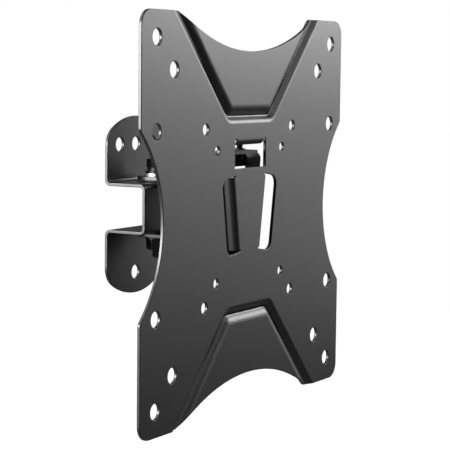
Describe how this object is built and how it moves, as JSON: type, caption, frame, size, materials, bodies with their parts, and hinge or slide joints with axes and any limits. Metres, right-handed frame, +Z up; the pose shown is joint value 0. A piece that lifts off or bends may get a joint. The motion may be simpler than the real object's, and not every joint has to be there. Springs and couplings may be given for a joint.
{
  "type": "tv wall mount",
  "caption": "Black steel tilt and swivel TV wall mount: pressed 200 x 200 mm plate with grooves, hung on a folded arm from a hat-shaped wall bracket.",
  "frame": {"origin": "midway between the upper middle and the lower wall screw hole, on the wall face", "axes": "+X to the right of somebody facing the wall, +Y into the wall, +Z up"},
  "size_m": [0.23, 0.082, 0.229],
  "materials": {
    "black_powder_coat": "satin powder coat",
    "black_zinc": "black zinc plated",
    "bright_zinc": "bright zinc plated",
    "black_nylon": "moulded nylon"
  },
  "bodies": {
    "wall": {"wall_plate": "black_powder_coat"},
    "arm": {"swivel_arm": "black_powder_coat", "swivel_bolt": "black_zinc", "swivel_spring_washer": "black_zinc", "swivel_top_washer": "black_zinc", "swivel_bright_washer": "bright_zinc", "swivel_slip_washer_top": "black_nylon", "swivel_slip_washer_bottom": "black_nylon", "swivel_bottom_washer": "black_zinc", "swivel_nut": "black_zinc"},
    "head": {"tilt_yoke": "black_powder_coat", "hanger": "black_powder_coat", "tv_plate": "black_powder_coat", "tilt_bolt": "black_zinc", "tilt_nut": "black_zinc", "tilt_washer_head": "black_zinc", "tilt_washer_nut": "black_zinc", "tilt_friction_washer_head": "black_nylon", "tilt_friction_washer_nut": "black_nylon", "locking_screw": "black_zinc"}
  },
  "joints": [
    {"name": "swivel", "type": "hinge", "parent": "wall", "child": "arm", "pos_m": [0, -0.0184, 0.002], "axis": [0, 0, 1], "range_deg": [-25, 25]},
    {"name": "tilt", "type": "hinge", "parent": "arm", "child": "head", "pos_m": [0, -0.0525, 0.002], "axis": [1, 0, 0], "range_deg": [-12, 12]}
  ]
}
